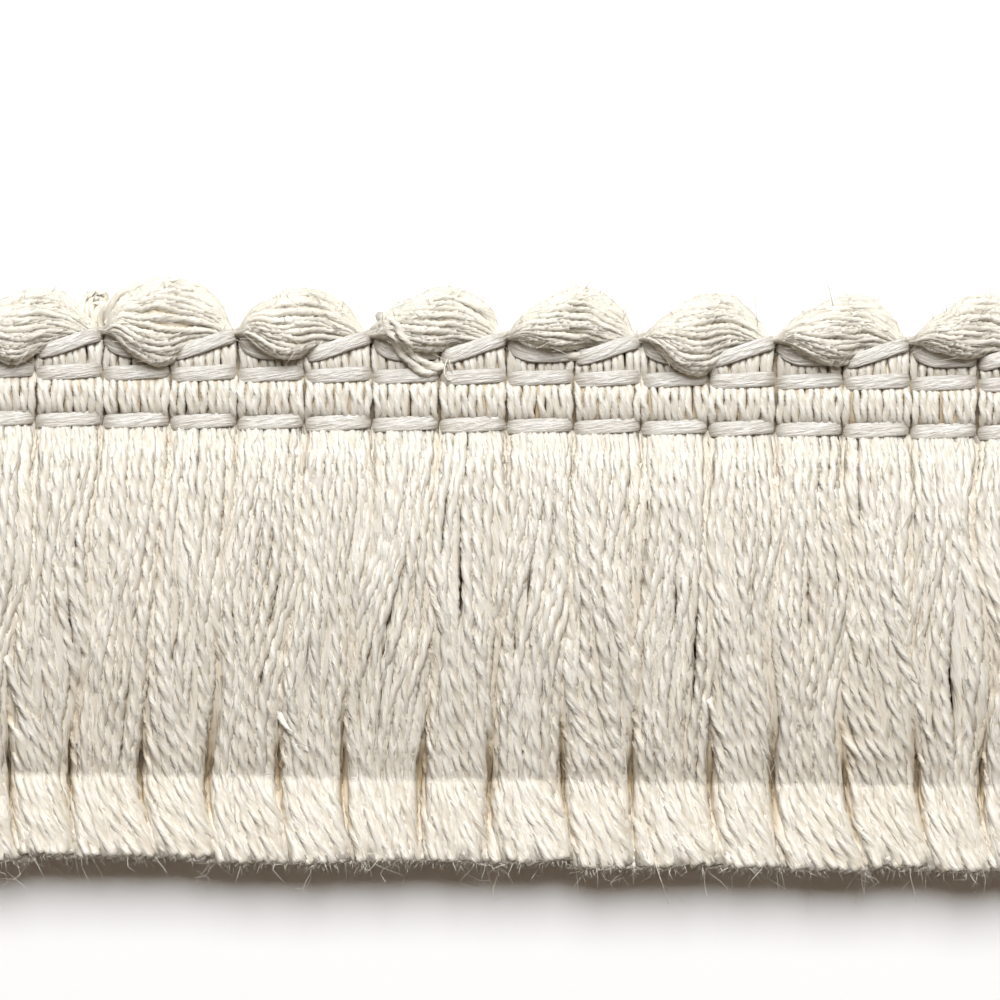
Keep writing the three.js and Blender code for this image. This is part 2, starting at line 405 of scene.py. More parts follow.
@dataclass(frozen=True)
class YarnFinish:
    """A yarn's colour on its crests, its painted shade colour for hollows and undersides, its lustre and its
    fibre.
    """

    name: str
    colour: tuple[float, float, float]
    streak_colour: tuple[float, float, float]
    painted_shade_colour: tuple[float, float, float]
    roughness: float
    sheen: float
    gloss: float = 0.5
    along_gloss: float = 0.0
    tone_spread: float = 0.08
    painted_shade_share: float = 0.9
    fibre_bump: float = 0.05
    bump_strength: float = 0.6
    sheen_roughness: float = 0.35
    streak_from: float = 0.36
    streak_to: float = 0.64
    fibre_across: float = 6.0
    fibre_along: float = 1.2

    def streaks(self, nodes: bpy.types.Nodes, links: bpy.types.NodeLinks) -> bpy.types.NodeSocket:
        """A noise from 0 to 1 that is drawn out along the yarn, as its fibres are."""
        unwrap = nodes.new("ShaderNodeUVMap")
        unwrap.uv_map = "yarn"
        stretch = nodes.new("ShaderNodeMapping")
        stretch.inputs["Scale"].default_value = (self.fibre_across, self.fibre_along, 1)
        links.new(unwrap.outputs["UV"], stretch.inputs["Vector"])
        fibres = nodes.new("ShaderNodeTexNoise")
        fibres.inputs["Scale"].default_value = 1.0
        fibres.inputs["Detail"].default_value = 3.0
        fibres.inputs["Roughness"].default_value = 0.6
        links.new(stretch.outputs["Vector"], fibres.inputs["Vector"])
        spread = nodes.new("ShaderNodeMapRange")
        spread.inputs["From Min"].default_value = self.streak_from
        spread.inputs["From Max"].default_value = self.streak_to
        links.new(fibres.outputs["Fac"], spread.inputs["Value"])
        return spread.outputs["Result"]

    def material(self) -> bpy.types.Material:
        """Builds the material from its nodes."""
        made = bpy.data.materials.new(self.name)
        made.use_nodes = True
        nodes, links = made.node_tree.nodes, made.node_tree.links
        shader = nodes["Principled BSDF"]
        shader.inputs["Roughness"].default_value = self.roughness
        shader.inputs["Specular IOR Level"].default_value = self.gloss
        shader.inputs["Sheen Weight"].default_value = self.sheen
        shader.inputs["Sheen Roughness"].default_value = self.sheen_roughness
        shader.inputs["Anisotropic"].default_value = self.along_gloss
        if self.along_gloss:
            around = nodes.new("ShaderNodeTangent")
            around.direction_type = "UV_MAP"
            around.uv_map = "yarn"
            links.new(around.outputs["Tangent"], shader.inputs["Tangent"])
        streaks = self.streaks(nodes, links)
        total = None
        shares = (("painted_shade", self.painted_shade_share), ("tone", self.tone_spread))
        for attribute, share in shares:
            source = nodes.new("ShaderNodeAttribute")
            source.attribute_name = attribute
            added = nodes.new("ShaderNodeMath")
            added.operation = "MULTIPLY_ADD"
            added.inputs[1].default_value = share
            added.inputs[2].default_value = 0
            links.new(source.outputs["Fac"], added.inputs[0])
            if total is not None:
                links.new(total, added.inputs[2])
            total = added.outputs["Value"]
        streaked = nodes.new("ShaderNodeMix")
        streaked.data_type = "RGBA"
        streaked.inputs["A"].default_value = (*self.colour, 1)
        streaked.inputs["B"].default_value = (*self.streak_colour, 1)
        links.new(streaks, streaked.inputs["Factor"])
        # Painted shade: the painted shade colour is mixed in by the painted shade attribute, with each yarn's
        # random tone added to the mix.
        tone_and_painted_shade = nodes.new("ShaderNodeMix")
        tone_and_painted_shade.data_type = "RGBA"
        tone_and_painted_shade.inputs["B"].default_value = (*self.painted_shade_colour, 1)
        links.new(total, tone_and_painted_shade.inputs["Factor"])
        links.new(streaked.outputs["Result"], tone_and_painted_shade.inputs["A"])
        links.new(tone_and_painted_shade.outputs["Result"], shader.inputs["Base Color"])
        relief = nodes.new("ShaderNodeBump")
        relief.invert = True
        relief.inputs["Strength"].default_value = self.bump_strength
        relief.inputs["Distance"].default_value = self.fibre_bump * MM
        links.new(streaks, relief.inputs["Height"])
        links.new(relief.outputs["Normal"], shader.inputs["Normal"])
        return made


@dataclass(frozen=True)
class Furrow:
    """The line between two columns, and the way that the yarns on its right creep round their bundle.

    The crease is how far the line has moved along X by there, and the tip how far from there to the cut.
    The creep is in half widths of the bundle, to the right where it is above zero.
    """

    crease: float
    tip: float
    creep: float


FURROWS = (
    Furrow(crease=-1.45, tip=0.5, creep=-0.3),
    Furrow(crease=-1.6, tip=0.7, creep=0.8),
    Furrow(crease=-1.5, tip=0.4, creep=-0.3),
    Furrow(crease=-1.4, tip=0.6, creep=1.0),
    Furrow(crease=-1.8, tip=0.6, creep=-0.3),
    Furrow(crease=-1.6, tip=1.2, creep=0.95),
    Furrow(crease=-1.6, tip=0.8, creep=-0.5),
    Furrow(crease=-1.45, tip=0.7, creep=0.55),
    Furrow(crease=-1.45, tip=0.4, creep=-1.1),
    Furrow(crease=-0.9, tip=0.1, creep=0.7),
    Furrow(crease=-0.55, tip=0.0, creep=-0.75),
    Furrow(crease=-0.5, tip=0.8, creep=0.9),
    Furrow(crease=-0.4, tip=0.3, creep=-0.5),
    Furrow(crease=0.5, tip=0.7, creep=0.85),
    Furrow(crease=0.1, tip=0.6, creep=-0.5),
    Furrow(crease=0.45, tip=1.3, creep=1.1),
    Furrow(crease=0.75, tip=0.8, creep=-0.3),
    Furrow(crease=0.6, tip=0.8, creep=0.8),
    Furrow(crease=0.55, tip=0.4, creep=-0.4),
    Furrow(crease=0.5, tip=0.7, creep=0.7),
    Furrow(crease=0.35, tip=0.6, creep=0.0),
)


@dataclass(frozen=True)
class Layer:
    """One layer of a bundle.

    The crowd is how many yarns lie side by side in half its width, up is how far up the bundle's
    thickness they lie, creeping is their share of the bundle's creep, and fat is their girth. The reach
    is how far to each side they go, in half widths.
    """

    shape: YarnShape
    crowd: float
    up: float
    creeping: float = 0.0
    fat: float = 1.0
    reach: float = 1.0


SKIRT_LAYERS = (
    Layer(YarnShape(sides=8, steps=108, groove=0.6), crowd=3.3, up=1.0, creeping=1.0),
    Layer(YarnShape(sides=6, steps=48, groove=0.7), crowd=3.4, up=0.95, creeping=0.4),
    Layer(YarnShape(sides=6, steps=16, plies=1), crowd=4.2, up=0.93, fat=1.35, reach=1.3),
    Layer(YarnShape(sides=5, steps=10, plies=1), crowd=3, up=0.4, fat=1.4, reach=1.1),
    Layer(YarnShape(sides=6, steps=14), crowd=3, up=0.0),
)


# Heights on the skirt: its root under the lower row, and the crease that draws it in.
ROOT_Y = 28.9
CREASE_Y = 5.4


@dataclass
class Skirt:
    """The brush of cut yarn: one bundle for each column, layer on layer.

    The pairs of a height and a value are curves down the bundle. Depth is the bundle's thickness, made
    of the shoulder and belly above the crease and the flare below it.
    """

    layout: Layout
    fold_run: float = 0.28
    rings_below_fold: float = 0.19
    yarn_radius: float = 0.39
    girth_spread: tuple[float, float] = (0.88, 1.12)
    twist_pitch: float = 3.2
    pitch_spread: tuple[float, float] = (0.84, 1.18)
    twist_waver: float = 0.6
    flare_twist: float = 0.7
    root_jitter: float = 0.3
    fold_jitter: float = 0.22
    swap: float = 0.16
    fanning: float = 0.1
    creep_margin: float = 0.6
    side_share: float = 0.93
    side_round: float = 0.01
    face_layers: int = 2
    inner_looseness: float = 0.3
    lump_height: float = 0.1
    yarn_lump_height: float = 0.09
    tip_unevenness: float = 0.08
    shoulder: Keys = (
        (19, 4.6), (22, 4.55), (24.5, 4.35), (26.6, 3.85), (27.5, 3.2), (28.1, 2.5), (ROOT_Y, 2.1)
    )
    belly: Keys = ((CREASE_Y, 3.0), (7, 3.35), (8.5, 3.6), (11, 4.0), (15, 4.45))
    flare: Keys = ((0, 3.82), (3, 3.45), (4.8, 3.14), (CREASE_Y, 3.0))
    valley: Keys = (
        (0, 0.5), (3, 0.8), (CREASE_Y, 1.7), (7.5, 1.0), (11, 0.35), (19, 0.2), (24, 0.4), (26.5, 0.9),
        (ROOT_Y, 0.5),
    )
    valley_half: float = 0.42
    width: Keys = (
        (0, 1.02), (3, 0.95), (CREASE_Y, 0.85), (8.5, 0.94), (12, 1.02), (21, 1.03), (24.5, 1.0),
        (26.5, 0.97), (ROOT_Y, 0.95),
    )
    drift_size: Keys = ((0, 0.25), (CREASE_Y, 0.1), (9, 0.3), (17, 0.38), (23, 0.25), (27.8, 0), (ROOT_Y, 0))
    loose_size: Keys = ((0, 0.22), (CREASE_Y, 0.05), (11, 0.24), (20, 0.2), (27.8, 0.02), (ROOT_Y, 0))
    lump_size: Keys = ((0, 0.7), (CREASE_Y, 0.3), (9, 1), (22, 0.8), (27.5, 0), (28.5, 0))
    girth: Keys = (
        (0, 1.14), (4, 1.06), (CREASE_Y, 0.94), (8, 0.97), (14, 1), (24, 0.98), (27.8, 0.88), (ROOT_Y, 0.7)
    )
    settling: Keys = ((0, 1), (CREASE_Y, 1), (13, 0.6), (22, 0.12), (27.5, 0), (28.5, 0))
    leaning: Keys = ((0, 1), (CREASE_Y, 1), (14, 0.58), (22, 0.16), (27.5, 0), (28.5, 0))
    flaring: Keys = ((0, 1), (CREASE_Y, 0), (28.5, 0))
    creep_right: Keys = ((0, 1), (CREASE_Y, 1), (9, 0.62), (14, 0.2), (19, 0), (28.5, 0))
    creep_left: Keys = ((0, 1), (CREASE_Y, 1), (9, 1), (14, 0.75), (20, 0.3), (26.5, 0), (28.5, 0))
    flare_creep: float = 0.55
    # Painted shade: the next six settings set how much painted shade the yarns take: on yarns lying under the
    # bundle's top, fading near the root and the cut, less on the back layer, and more down the skirt to the
    # crease and over the flare.
    sinking: Keys = ((0, 1), (21, 1), (26, 0.5), (ROOT_Y, 0.5))
    painted_shade_by_height: Keys = ((0, 0.14), (5.39, 0.14), (CREASE_Y, 0.12), (15, 0.05), (24, 0), (ROOT_Y, 0))
    sunk_from: float = 0.12
    sunk_over: float = 1.1
    sunk_above_cut: float = 2.5
    back_painted_shade: float = 0.2
    seed: int = 11
    tips: list = field(default_factory=list)
    face_yarns: list = field(default_factory=list)

    def __post_init__(self) -> None:
        """Draws the drift of the face and of each layer under it, and the lumps of the surface."""
        rng = np.random.default_rng(self.seed)
        self.face = Drift.drawn(rng, (5, 12), (14, 36))
        self.below = [Drift.drawn(rng, (4, 10), (12, 30)) for _ in SKIRT_LAYERS]
        self.lumps = Drift.drawn(rng, (3, 9), (6, 16))

    def heights(self, steps: int) -> np.ndarray:
        """The rings' heights from the root to the cut, with three of them close round the crease."""
        below = max(4, round(steps * self.rings_below_fold))
        upper = np.linspace(ROOT_Y, CREASE_Y + self.fold_run, steps - 1 - below)
        lower = np.linspace(CREASE_Y - self.fold_run, 0, below + 1)
        return np.concatenate([upper, [CREASE_Y], lower])

    def depth(self, y: np.ndarray) -> np.ndarray:
        """The bundle's thickness at a height, with a sharp fold at the crease."""
        above = eased((*self.belly, *self.shoulder), y)
        return np.where(y >= CREASE_Y, above, eased(self.flare, y))

    def below_fold(self, y: np.ndarray) -> np.ndarray:
        """How far down from the crease each height is, from 0 there to 1 at the cut."""
        return np.clip((CREASE_Y - y) / CREASE_Y, 0, 1)

    def edge(self, number: int, y: np.ndarray) -> np.ndarray:
        """The line of the furrow before a column, at each height."""
        furrow = FURROWS[number]
        x = self.layout.edge_x(number)
        drifted = self.face.at(x, y) * eased(self.drift_size, y)
        return x + furrow.crease * eased(self.leaning, y) + furrow.tip * eased(self.flaring, y) + drifted

    def creep(self, column: int, y: np.ndarray) -> np.ndarray:
        """How far the face yarns of a column have crept round it at each height, in half widths."""
        creep = FURROWS[column].creep
        whole = creep * eased(self.creep_right if creep > 0 else self.creep_left, y)
        return whole + self.flare_creep * self.below_fold(y)

    def across(
        self, layer: Layer, column: int, y: np.ndarray, rng: np.random.Generator
    ) -> tuple[np.ndarray, np.ndarray, np.ndarray]:
        """Works out where a layer's yarns run across their bundle, in half widths from its middle.

        Args:
            layer: The layer.
            column: The column's number, from the left.
            y: The rings' heights.
            rng: The column's seeded source.

        Returns:
            Each yarn's place at the root, its place at the crease, and its place at every height.
        """
        creep = layer.creeping * FURROWS[column].creep
        first = -layer.reach - max(creep + self.creep_margin * layer.creeping, 0)
        last = layer.reach + max(-creep, 0)
        count = round((last - first) * layer.crowd)
        root = (spaced(rng, count, self.root_jitter) + 1) / 2 * (last - first) + first
        spread = (last - first) / 2
        order = np.argsort(np.argsort(root + rng.normal(0, self.swap * spread, count)))
        folded = ((spaced(rng, count, self.fold_jitter) + 1) / 2 * (last - first) + first)[order]
        fanned = folded + rng.normal(0, self.fanning, count)
        place = root[:, None] + (folded - root)[:, None] * eased(self.settling, y)[None, :]
        place = place + (fanned - folded)[:, None] * self.below_fold(y)[None, :]
        return root, folded, place + layer.creeping * self.creep(column, y)

    def drifting(
        self, number: int, column: int, root: np.ndarray, y: np.ndarray, rng: np.random.Generator
    ) -> np.ndarray:
        """Works out how far each yarn of a layer wavers sideways at each height, in millimetres."""
        own_x = self.layout.edge_x(column + 0.5) + np.clip(root, -1, 1)[:, None] * self.layout.pitch / 2
        drift = self.face.at(own_x, y[None, :])
        if number:
            drift = (drift + self.below[number].at(own_x, y[None, :])) / 2
        sides = self.layout.edge_x(np.array([column, column + 1.0]))[:, None]
        drift = (drift - self.face.at(sides, y).mean(axis=0)) * eased(self.drift_size, y)
        looseness = 1 if number < self.face_layers else self.inner_looseness
        return drift + wander(rng, y, len(root), 22) * (eased(self.loose_size, y) * looseness)

    def painted_shade(self, layer: Layer, y: np.ndarray, top: np.ndarray) -> np.ndarray:
        """How much painted shade each ring takes: more the further its top is under the bundle's own, plus
        painted shade that grows down the skirt to the crease and lies over the flare.
        """
        under = np.clip((self.depth(y) - top - self.sunk_from) / self.sunk_over, 0, 1)
        under = under * np.clip(y / self.sunk_above_cut, 0, 1) * eased(self.sinking, y)
        painted_shade_amount = under + eased(self.painted_shade_by_height, y)
        return painted_shade_amount if layer.up else painted_shade_amount * self.back_painted_shade

    def turning(self, layer: Layer, y: np.ndarray, count: int, rng: np.random.Generator) -> np.ndarray:
        """How far each yarn's plies have turned round it at each height."""
        slowest = RINGS_A_TURN * ROOT_Y / layer.shape.steps
        pitch = np.maximum(self.twist_pitch * rng.uniform(*self.pitch_spread, (count, 1)), slowest)
        twisting = np.where(y < CREASE_Y, CREASE_Y + (y - CREASE_Y) * self.flare_twist, y)
        turn = -TURN * twisting[None, :] / pitch + rng.uniform(0, TURN, (count, 1))
        return turn + self.twist_waver * wander(rng, y, count, 13)

    def yarns(self, column: int, number: int, rng: np.random.Generator, cut: np.ndarray) -> Strands:
        """Lays one layer of a column's bundle.

        Args:
            column: The column's number, from the left.
            number: The layer's number, from the top.
            rng: The column's seeded source.
            cut: The height of the column's cut at its left, middle and right.

        Returns:
            The layer's strands.
        """
        layer = SKIRT_LAYERS[number]
        y = self.heights(layer.shape.steps)
        root, folded, place = self.across(layer, column, y, rng)
        count = len(root)
        over_side = np.abs(place) - layer.reach
        over_side = (over_side + np.sqrt(over_side**2 + self.side_round)) / 2
        place = place - np.sign(place) * over_side * self.side_share
        left, right = self.edge(column, y), self.edge(column + 1, y)
        half = (right - left) / 2
        drift = self.drifting(number, column, root, y, rng)
        share = eased(self.width, y)
        if number >= self.face_layers:
            share = np.maximum(share, 1)
        place = place * share + drift / half
        x = (left + right) / 2 + place * half
        girth = layer.fat * self.yarn_radius * eased(self.girth, y)
        radius = girth * rng.uniform(*self.girth_spread, (count, 1))
        inward = np.clip(1 - np.abs(place), 0, 1) * half / self.valley_half
        crown = self.depth(y) - eased(self.valley, y) * np.exp(-(inward**2))
        lumps = self.lumps.at(x, y[None, :]) * self.lump_height
        lumps = lumps + wander(rng, y, count, 17) * self.yarn_lump_height
        crown = crown + lumps * eased(self.lump_size, y) - over_side * half
        z = np.maximum(radius + layer.up * (crown - 2 * radius), radius)
        uneven = rng.uniform(-self.tip_unevenness, self.tip_unevenness, count)
        tip = np.interp(folded, [-1, 0, 1], cut) + uneven
        height = y[None, :] + self.below_fold(y)[None, :] * tip[:, None]
        turn = self.turning(layer, y, count, rng)
        points = np.stack([x, height, z], axis=2)
        return Strands(layer.shape, points, radius, turn, painted_shade=self.painted_shade(layer, y, z + radius))

    def bundle(self, column: int) -> list[Strands]:
        """Lays every layer of one column's bundle, from the top down."""
        rng = np.random.default_rng(self.seed + 37 * column)
        cut = rng.uniform(-0.2, 0.2) + np.array([-1, 0, 1]) * rng.uniform(-0.18, 0.18)
        lots = [self.yarns(column, number, rng, cut) for number in range(len(SKIRT_LAYERS))]
        self.face_yarns.append(lots[0])
        for lot in lots:
            self.tips.extend(lot.points[:, -1])
        return lots

    def build(self) -> list[bpy.types.Object]:
        """Makes one piece for each column's bundle."""
        made = []
        for column in range(self.layout.columns):
            name = f"skirt_bundle_{column + 1:02d}"
            made.append(lay_strands(name, self.bundle(column), self.layout, 500 + column))
        return made


# How high the upper row lies across a pair of columns: 1 at the notches, 0 between the two columns.
ROW_RISE: Keys = (
    (0, 1), (0.03, 0.9), (0.1, 0.4), (0.2, 0.06), (0.4, 0), (0.52, 0), (0.67, 0.26), (0.8, 0.6),
    (0.91, 0.88), (1, 1),
)


@dataclass
class Heading:
    """The woven band: weft yarns that float in two blocks between the rows of binding."""

    layout: Layout
    lower_y: float = 28.6
    middle_y: float = 31.72
    upper_y: float = 33.15
    upper_rise: float = 0.93
    yarn_radius: float = 0.3
    twist_pitch: float = 2.7
    slant: float = 0.3
    front: YarnShape = YarnShape(sides=8, steps=26, groove=0.7)
    inner: YarnShape = YarnShape(sides=5, steps=4, plies=1)
    back: YarnShape = YarnShape(sides=6, steps=12)
    front_count: int = 9
    back_count: int = 7
    row_z: float = 1.75
    float_z: float = 2.56
    block_rise: float = 0.8
    row_share: float = 0.955
    block_share: float = 0.035
    filling_count: int = 7
    filling_radius: float = 0.39
    filling_levels: tuple[float, float] = (1.2, 2.2)
    filling_side_drop: float = 0.2
    filling_run: Keys = ((27, 0.8), (28.2, 0.8), (28.9, 1), (31.6, 1), (32.2, 0.8), (33.6, 0.75))
    seed: int = 23

    def rise(self, x: np.ndarray) -> np.ndarray:
        """How much higher the upper row is at each X than between the two columns of a pair."""
        return self.upper_rise * eased(ROW_RISE, self.layout.pair_share(x)[1])

    def stations(self, side: Side) -> tuple[np.ndarray, np.ndarray, np.ndarray]:
        """The weft's route over the blocks and under the rows.

        Args:
            side: The face that the yarns lie on.

        Returns:
            Heights, their share in the upper row's rise, and the yarn's middle above the surface.
        """
        blocks = [
            (self.lower_y - 0.3, 0, 1.7),
            (self.lower_y, 0, self.row_z),
            (self.lower_y + 0.45, 0, 2.18),
            (self.lower_y + 0.75, 0, 2.46),
            (self.lower_y + 1.2, 0, self.float_z),
            (self.middle_y - 1.2, 0, self.float_z),
            (self.middle_y - 0.8, 0, 2.42),
            (self.middle_y - 0.45, 0, 2.1),
            (self.middle_y, 0, self.row_z),
            (self.middle_y + 0.42, 0.2, 2.08),
            (self.middle_y + 0.7, 0.55, 2.14),
            (self.upper_y, 1, self.row_z),
            (self.upper_y + 0.35, 1, 1.4),
            (self.upper_y + 0.45, 1, 0.95),
        ]
        y, rise, z = np.array(blocks).T
        if side is Side.BACK:
            z = np.interp(z, [0.95, 1.7, self.float_z], [0.95, 0.8, 0.3])
        return y, rise, z

    def lot(self, column: int, count: int, shape: YarnShape, side: Side) -> Strands:
        """Lays one face's weft yarns of one column."""
        rng = np.random.default_rng(self.seed * 100 + column * 10 + side.value)
        key_y, key_rise, key_z = self.stations(side)
        travel = np.concatenate([[0], np.cumsum(np.hypot(np.diff(key_y), np.diff(key_z)))])
        at = np.linspace(0, travel[-1], shape.steps + 1)
        y, rise, z = (eased(list(zip(travel, k)), at) for k in (key_y, key_rise, key_z))
        place = spaced(rng, count, 0.15)
        half = self.layout.pitch / 2
        across = 0.5 - at / travel[-1]
        slant = 0.05 * wander(rng, at, count, 5)
        slant = slant + self.slant * across * rng.uniform(0.2, 1, (count, 1)) / half
        bulge = self.row_share + self.block_share * np.clip((z - self.row_z) / self.block_rise, 0, 1)
        x = self.layout.edge_x(column + 0.5) + np.clip(place[:, None] + slant, -1, 1) * bulge * half
        radius = self.yarn_radius * rng.uniform(0.92, 1.12, (count, 1)) * np.ones_like(x)
        height = y[None, :] + rise[None, :] * self.rise(x)
        lift = 0.04 * wander(rng, at, count, 7) - 0.2 * np.abs(place[:, None]) ** 8
        deep = np.maximum(z[None, :] + (lift if side is Side.FRONT else 0), radius)
        slowest = RINGS_A_TURN * travel[-1] / shape.steps
        pitch = np.maximum(self.twist_pitch * rng.uniform(0.85, 1.2, (count, 1)), slowest)
        turn = TURN * at[None, :] / pitch + rng.uniform(0, TURN, (count, 1))
        return Strands(shape, np.stack([x, height, deep], axis=2), radius, turn)

    def filling(self, column: int, level: float) -> Strands:
        """Lays the weft yarns between the two faces, which only fill the band."""
        y = np.linspace(self.lower_y - 0.3, self.upper_y + 0.3, self.inner.steps + 1)
        place = np.linspace(-1, 1, self.filling_count)
        x = self.layout.edge_x(column + 0.5) + place * (self.layout.pitch / 2)
        deep = level * eased(self.filling_run, y)
        deep = deep[None, :] * (1 - self.filling_side_drop * place[:, None] ** 4)
        points = np.stack(np.broadcast_arrays(x[:, None], y[None, :], deep), axis=2)
        radius = np.full((self.filling_count, len(y)), self.filling_radius)
        # The filling yarns take the painted shade colour in full, so they read as shade where they show
        # between the faces' yarns.
        return Strands(self.inner, points.astype(float), radius, np.zeros_like(radius), painted_shade=1.0)

    def build(self) -> list[bpy.types.Object]:
        """Makes the front of the band, and its back with the yarns between."""
        columns = range(self.layout.columns)
        front = [self.lot(c, self.front_count, self.front, Side.FRONT) for c in columns]
        back = [self.lot(c, self.back_count, self.back, Side.BACK) for c in columns]
        back += [self.filling(c, level) for c in columns for level in self.filling_levels]
        return [
            lay_strands("heading_weft_front", front, self.layout, 71),
            lay_strands("heading_weft_back", back, self.layout, 72),
        ]


@dataclass
class Binding:
    """One row of twined binding: two threads that change places in every gap between columns."""

    heading: Heading
    name: str
    row_y: float
    rises: bool = False
    sides: int = 12
    plies: int = 3
    groove: float = 0.93
    thread_radius: float = 0.51
    flatness: float = 0.25
    front_z: float = 2.5
    back_z: float = 0.3
    slant: float = 0.15
    steps_a_column: int = 16
    twist_pitch: float = 26.0
    dip_painted_shade: float = 0.35
    end_painted_shade: float = 0.45
    seed: int = 5
    floating: Keys = ((0, 0), (0.0625, 0.8), (0.125, 0.94), (0.5, 1), (0.875, 0.94), (0.9375, 0.8), (1, 0))
    swelling: Keys = ((0, 0.8), (0.05, 0.93), (0.25, 1), (0.75, 1), (0.95, 0.93), (1, 0.8))

    def thread(self, first_side: int) -> Strands:
        """Lays one thread of the pair, which starts in front of even or odd columns."""
        layout = self.heading.layout
        shape = YarnShape(self.sides, layout.columns * self.steps_a_column, self.plies, self.groove)
        rng = np.random.default_rng(self.seed + first_side)
        share = np.linspace(0, layout.columns, shape.steps + 1)
        column = np.minimum(np.floor(share), layout.columns - 1)
        within = share - column
        in_front = (column.astype(int) + first_side) % 2 == 0
        reach = (self.front_z - self.back_z) / 2 * eased(self.floating, within)
        z = (self.front_z + self.back_z) / 2 + np.where(in_front, reach, -reach)
        x = layout.edge_x(share)
        slanted = self.slant * (2 * within - 1)
        y = self.row_y + np.where(in_front, slanted, -slanted)
        if self.rises:
            y = y + self.heading.rise(x)
        radius = self.thread_radius * eased(self.swelling, within)
        radius = radius * (1 + 0.05 * wander(rng, x, 1, 11)[0])
        turn = TURN * x / self.twist_pitch + rng.uniform(0, TURN)
        # Painted shade on the thread where it dips into the gaps between columns and towards the ends of each
        # float.
        painted_shade_amount = self.dip_painted_shade * (1 - eased(self.floating, within))
        painted_shade_amount = painted_shade_amount + self.end_painted_shade * np.abs(2 * within - 1) ** 1.5
        return Strands(
            shape,
            np.stack([x, y, z], axis=1)[None],
            radius[None],
            turn[None],
            sideways=(0, 1, 0),
            flatness=self.flatness,
            painted_shade=painted_shade_amount[None],
        )

    def build(self) -> bpy.types.Object:
        """Makes the row's two threads as one piece."""
        threads = [self.thread(0), self.thread(1)]
        return lay_strands(self.name, threads, self.heading.layout, self.seed)


@dataclass(frozen=True)
class Hump:
    """One scallop over a pair of columns.

    The rise and sag are above and below the notches, peak and low are how far across the pair they
    are, and left and right are the shares of the rise at a tenth and at six sevenths of the way.
    """

    rise: float
    peak: float
    sag: float
    low: float
    left: float
    right: float

    def top(self, t: np.ndarray) -> np.ndarray:
        """The upper outline above the notches, at each share of the way across."""
        left, right = self.left, self.right
        keys = (
            (0, 0), (0.04, 0.04), (0.06, 0.3 * left), (0.09, 0.88 * left), (0.17, 0.28 + 0.8 * left),
            (0.27, 0.5 + 0.6 * left), (self.peak - 0.12, 0.94), (self.peak, 1), (self.peak + 0.1, 0.965),
            (0.78, 0.42 + 0.5 * right), (0.855, 0.85 * right), (0.91, 0.2 * right), (0.94, -0.07),
            (0.985, -0.07), (1, 0),
        )
        return self.rise * eased(keys, t)

    def bottom(self, t: np.ndarray) -> np.ndarray:
        """How far the lower outline is below the notches."""
        low = self.low
        keys = (
            (0, 0.4), (0.05, 0.42), (low * 0.28, 0.38 + 0.16 * self.sag), (low * 0.47, 0.3 + 0.5 * self.sag),
            (low * 0.72, 0.27 + 0.83 * self.sag), (low, 0.25 + self.sag),
            (low + 0.08, 0.25 + 0.95 * self.sag), (low + 0.17, 0.2 + 0.72 * self.sag), (0.75, 0.95),
            (0.93, 0.75), (1, 0.4),
        )
        return eased(keys, t)


HUMPS = (
    Hump(rise=2.7, peak=0.53, sag=1.7, low=0.38, left=0.3, right=0.5),
    Hump(rise=2.55, peak=0.54, sag=2.2, low=0.32, left=0.32, right=0.45),
    Hump(rise=3.25, peak=0.48, sag=2.2, low=0.4, left=0.42, right=0.58),
    Hump(rise=2.7, peak=0.48, sag=1.7, low=0.36, left=0.42, right=0.45),
    Hump(rise=2.92, peak=0.55, sag=1.1, low=0.42, left=0.34, right=0.68),
    Hump(rise=3.0, peak=0.54, sag=0.8, low=0.42, left=0.3, right=0.62),
    Hump(rise=2.75, peak=0.56, sag=2.35, low=0.38, left=0.2, right=0.47),
    Hump(rise=2.78, peak=0.57, sag=1.57, low=0.43, left=0.25, right=0.6),
    Hump(rise=2.85, peak=0.54, sag=1.05, low=0.42, left=0.24, right=0.6),
    Hump(rise=2.75, peak=0.53, sag=1.6, low=0.4, left=0.28, right=0.55),
)


# How far forward the cord lies across a pair: 1 in front of the first column, -1 behind the second.
WEAVE: Keys = (
    (0, -0.1), (0.07, 0.75), (0.25, 1), (0.42, 0.8), (0.55, -0.1), (0.7, -0.8), (0.9, -1), (0.97, -0.8),
    (1, -0.1),
)


